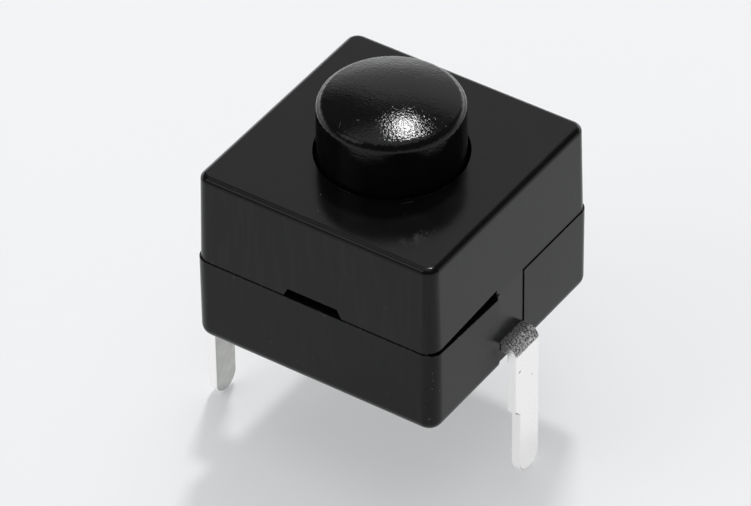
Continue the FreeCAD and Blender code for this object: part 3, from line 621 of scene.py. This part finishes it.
def spring_tree(sizes, material):
    """A round wire wound up a cone, with its first and last turns laid flatter than the rest."""
    tree, entry, leave = new_group(
        "Conical spring", "GeometryNodeTree", sizes.items(), "Geometry", "NodeSocketGeometry")
    line = tree.node("GeometryNodeCurvePrimitiveLine").outputs[0]
    points = tree.node("GeometryNodeResampleCurve", {
        "Curve": line, "Count": SPRING_POINTS}).outputs[0]
    share = tree.node("GeometryNodeSplineParameter").outputs["Factor"]
    angle = tree.math("MULTIPLY", tree.math("MULTIPLY", share, math.tau), entry["Turns"])
    radius = tree.between(share, entry["Low Radius"], entry["High Radius"])
    even = tree.math("MULTIPLY", share, 1 - SPRING_EASE)
    eased = tree.math("MULTIPLY_ADD", tree.ramp(share, 0.0, 1.0), SPRING_EASE, even)
    place = tree.point(
        tree.math("MULTIPLY", radius, tree.math("COSINE", angle)),
        tree.math("MULTIPLY", radius, tree.math("SINE", angle)),
        tree.between(eased, entry["Low"], entry["High"]))
    path = tree.node("GeometryNodeSetPosition", {"Geometry": points, "Position": place}).outputs[0]
    ring = tree.node("GeometryNodeCurvePrimitiveCircle", {
        "Resolution": WIRE_SIDES, "Radius": tree.math("MULTIPLY", entry["Wire"], 0.5)}).outputs[0]
    wire = tree.node("GeometryNodeCurveToMesh", {
        "Curve": path, "Profile Curve": ring, "Fill Caps": True}).outputs[0]
    real = tree.node("GeometryNodeRealizeInstances", {"Geometry": wire}).outputs[0]
    coated = tree.node("GeometryNodeSetMaterial", {"Geometry": real, "Material": material})
    tree.feed(leave, coated.outputs[0])
    return tree.tree


def make_spring():
    low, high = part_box("return_spring")
    sizes = {
        "Wire": SPRING_WIRE,
        "Low Radius": max(high.x, high.y) / MM - SPRING_WIRE / 2,
        "High Radius": SPRING_TOP_RADIUS,
        "Turns": SPRING_TURNS,
        "Low": low.z / MM + SPRING_WIRE / 2,
        "High": high.z / MM - SPRING_WIRE / 2,
    }
    made = add_object("spring_wire", bpy.data.meshes.new("spring_wire"))
    winding = made.modifiers.new("winding", "NODES")
    winding.node_group = spring_tree(sizes, STEEL)
    for item in winding.node_group.interface.items_tree:
        if item.in_out == "INPUT":
            winding[item.identifier] = sizes[item.name]
    settle(made)
    made.data.shade_smooth()
    finish_piece(made, "housing", STEEL, ["return_spring"])
    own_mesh(made)


# Stage, lights and camera

def floor_material():
    """A pale matt floor that glows a little to the camera and is clear from below."""
    material, tree, sockets = new_material("pale_floor", Roughness=0.7, Specular_IOR_Level=0.2)
    nodes = material.node_tree.nodes
    tree.feed(sockets["Base Color"], tree.colour(tree.noise(tree.place(), pattern(40)), *FLOOR_COLOURS))
    path = tree.node("ShaderNodeLightPath").outputs
    lift = tree.math("MULTIPLY", path["Is Camera Ray"], FLOOR_LIFT)
    lift = tree.math("MULTIPLY_ADD", path["Is Glossy Ray"], FLOOR_LIFT_IN_METAL, lift)
    glow = tree.node("ShaderNodeEmission", {"Color": FLOOR_GLOW, "Strength": 1.0}).outputs[0]
    shown = tree.mix_shaders(lift, nodes["Principled BSDF"].outputs[0], glow)
    below = tree.node("ShaderNodeNewGeometry").outputs["Backfacing"]
    clear = tree.node("ShaderNodeBsdfTransparent").outputs[0]
    tree.feed(nodes["Material Output"].inputs["Surface"], tree.mix_shaders(below, shown, clear))
    return material


def make_floor():
    """A square floor at the tips of the legs."""
    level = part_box("terminal_right")[0].z
    half = FLOOR_SIDE / 2
    corners = [(-half, -half, level), (half, -half, level), (half, half, level), (-half, half, level)]
    mesh = bpy.data.meshes.new("floor")
    mesh.from_pydata(corners, [], [(0, 1, 2, 3)])
    mesh.materials.append(floor_material())
    add_object("floor", mesh)


def softbox(name, direction, width, height, radiance):
    """A rectangular lamp that is equally bright wherever it is seen from."""
    wide = 2 * LIGHT_DISTANCE * math.tan(math.radians(width) / 2)
    tall = 2 * LIGHT_DISTANCE * math.tan(math.radians(height) / 2)
    lamp = bpy.data.lights.new(name, "AREA")
    lamp.shape = "RECTANGLE"
    lamp.size = wide
    lamp.size_y = tall
    lamp.energy = radiance * math.pi * wide * tall
    made = add_object(name, lamp)
    away = Vector(direction).normalized()
    made.location = away * LIGHT_DISTANCE
    made.rotation_euler = away.to_track_quat("Z", "Y").to_euler()


def make_room():
    """A pale wall behind the object, brightest at its foot and lower at its left, under a dark
    ceiling with a bright panel straight overhead."""
    world = bpy.data.worlds.new("studio")
    bpy.context.scene.world = world
    world.use_nodes = True
    tree = Tree(world.node_tree)
    shown = world.node_tree.nodes["Background"].inputs
    way = tree.node("ShaderNodeTexCoord").outputs["Generated"]
    up = tree.node("ShaderNodeSeparateXYZ", {"Vector": way}).outputs["Z"]
    back = tree.vector("DOT_PRODUCT", way, BACK, "Value")
    left = tree.vector("DOT_PRODUCT", way, LEFT, "Value")
    level = tree.math("MULTIPLY_ADD", up, tree.math("MULTIPLY", up, -1.0), 1.0)
    level = tree.math("SQRT", tree.math("MAXIMUM", level, 0.001))
    turned = tree.math("DIVIDE", back, level)
    lefter = tree.math("MAXIMUM", tree.math("SUBTRACT", left, LEFT_START), 0.0)
    lowered = tree.math("MULTIPLY_ADD", lefter, LEFT_FALL, up)

    wall = tree.math("MULTIPLY", tree.ramp(lowered, *WALL_TOP), tree.ramp(turned, *WALL_SIDES))
    glow = tree.math("MULTIPLY", tree.ramp(up, *GLOW_TOP), tree.ramp(turned, *GLOW_SIDES))
    light = tree.ramp(up, *HORIZON_FADE, HORIZON_LIGHT, CEILING_LIGHT)
    light = tree.math("MULTIPLY_ADD", wall, WALL_LIGHT, light)
    light = tree.math("MULTIPLY_ADD", glow, GLOW_LIGHT, light)
    light = tree.math("MULTIPLY_ADD", tree.ramp(up, *PANEL_EDGE), PANEL_LIGHT, light)
    tree.feed(shown["Strength"], light)
    shown["Color"].default_value = ROOM_TINT


def make_camera():
    azimuth, elevation = math.radians(CAMERA_AZIMUTH), math.radians(CAMERA_ELEVATION)
    roll = math.radians(CAMERA_ROLL)
    back = Vector((math.sin(azimuth) * math.cos(elevation),
                   -math.cos(azimuth) * math.cos(elevation), math.sin(elevation)))
    level = Vector((math.cos(azimuth), math.sin(azimuth), 0))
    upright = back.cross(level)
    right = math.cos(roll) * level + math.sin(roll) * upright
    up = math.cos(roll) * upright - math.sin(roll) * level
    data = bpy.data.cameras.new("camera")
    data.sensor_fit = "HORIZONTAL"
    data.sensor_width = SENSOR_WIDTH
    data.lens = FOCAL_PIXELS * SENSOR_WIDTH / PHOTO_WIDTH
    data.clip_start = NEAREST_SEEN
    made = add_object("camera", data)
    turn = Matrix((right, up, back)).transposed()
    made.matrix_world = Matrix.Translation(Vector(CAMERA_PLACE) * MM) @ turn.to_4x4()
    bpy.context.scene.camera = made


make_dressed_pieces()
make_spring()
make_floor()
make_room()
softbox("key_light", *KEY_LIGHT)
softbox("front_left_light", *FRONT_LEFT_LIGHT)
make_camera()
bpy.context.scene.view_settings.view_transform = "Standard"
